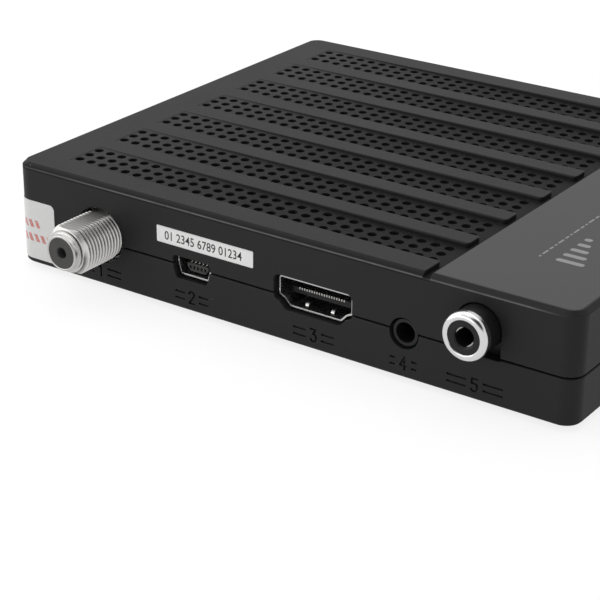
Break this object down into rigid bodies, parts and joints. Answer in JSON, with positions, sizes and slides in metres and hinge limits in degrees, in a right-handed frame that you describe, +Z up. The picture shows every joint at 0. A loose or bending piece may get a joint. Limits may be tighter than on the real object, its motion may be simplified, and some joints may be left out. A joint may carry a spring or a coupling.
{
  "type": "satellite tv receiver",
  "caption": "Small flat satellite TV receiver: vented two-shell plastic case, rear port panel with aerial, video and audio sockets, front display and push keys.",
  "frame": {"origin": "bottom centre of the whole part's box, on the plane the rubber feet stand on", "axes": "+Z up; the port panel faces -Y and the display side +Y; +X is to the right when the port panel is looked at"},
  "size_m": [0.115, 0.1068, 0.0206],
  "materials": {
    "case_plastic": "fine-textured black ABS",
    "trim_plastic": "satin graphite moulding",
    "key_plastic": "satin black",
    "window_smoke": "smoked clear acrylic",
    "label_white": "printed white film",
    "seal_white": "brittle white film",
    "foot_rubber": "black rubber",
    "screw_steel": "black zinc steel",
    "board_laminate": "green solder mask",
    "nickel_plate": "bright nickel on brass",
    "shell_tin": "tin-plated sheet",
    "ring_chrome": "polished chrome",
    "grey_insulator": "moulded grey",
    "black_insulator": "moulded black",
    "contact_tin": "bright tin plate",
    "segment_lens": "diffuse lens",
    "lamp_lens": "tinted epoxy",
    "plunger_plastic": "moulded",
    "chip_epoxy": "black epoxy",
    "pad_grey": "soft pad",
    "sink_aluminium": "anodised",
    "capacitor_can": "aluminium can"
  },
  "bodies": {
    "case": {"top_cover": "case_plastic", "bottom_cover": "case_plastic", "top_trim_plate": "trim_plastic", "front_window": "window_smoke", "number_label": "label_white", "seal_sticker": "seal_white", "rubber_feet": "foot_rubber", "case_screws": "screw_steel", "board_screws": "screw_steel", "main_board": "board_laminate", "aerial_barrel": "nickel_plate", "aerial_base": "nickel_plate", "extension_socket_shell": "shell_tin", "video_socket_shell": "shell_tin", "data_socket_shell": "shell_tin", "tuner_frame": "shell_tin", "tuner_lid": "shell_tin", "crystal_can": "shell_tin", "switch_plates": "shell_tin", "coax_ring": "ring_chrome", "aerial_insulator": "grey_insulator", "extension_socket_core": "grey_insulator", "video_socket_core": "black_insulator", "coax_insulator": "black_insulator", "av_jack_body": "black_insulator", "coax_body": "black_insulator", "power_inlet_body": "black_insulator", "data_socket_core": "black_insulator", "switch_bodies": "black_insulator", "infrared_receiver": "black_insulator", "display_body": "black_insulator", "aerial_contact": "contact_tin", "extension_socket_contacts": "contact_tin", "video_socket_contacts": "contact_tin", "av_jack_springs": "contact_tin", "coax_contact": "contact_tin", "power_inlet_pin": "contact_tin", "power_inlet_spring": "contact_tin", "data_socket_contacts": "contact_tin", "component_leads": "contact_tin", "display_segments": "segment_lens", "standby_lamp": "lamp_lens", "tuner_chip": "chip_epoxy", "main_processor": "chip_epoxy", "memory_chips": "chip_epoxy", "power_chips": "chip_epoxy", "power_coils": "chip_epoxy", "chip_components": "chip_epoxy", "thermal_pad": "pad_grey", "heat_sink": "sink_aluminium", "capacitors": "capacitor_can"},
    "standby_key": {"standby_key": "key_plastic", "standby_plunger": "plunger_plastic"},
    "channel_up_key": {"channel_up_key": "key_plastic", "channel_up_plunger": "plunger_plastic"},
    "channel_down_key": {"channel_down_key": "key_plastic", "channel_down_plunger": "plunger_plastic"}
  },
  "joints": [
    {"name": "standby_press", "type": "slide", "parent": "case", "child": "standby_key", "axis": [0, -1, 0], "range_m": [0, 0.00035], "stiffness_N_per_m": 3000, "springref_m": -0.0002},
    {"name": "channel_up_press", "type": "slide", "parent": "case", "child": "channel_up_key", "axis": [0, -1, 0], "range_m": [0, 0.00035], "stiffness_N_per_m": 3000, "springref_m": -0.0002},
    {"name": "channel_down_press", "type": "slide", "parent": "case", "child": "channel_down_key", "axis": [0, -1, 0], "range_m": [0, 0.00035], "stiffness_N_per_m": 3000, "springref_m": -0.0002}
  ]
}
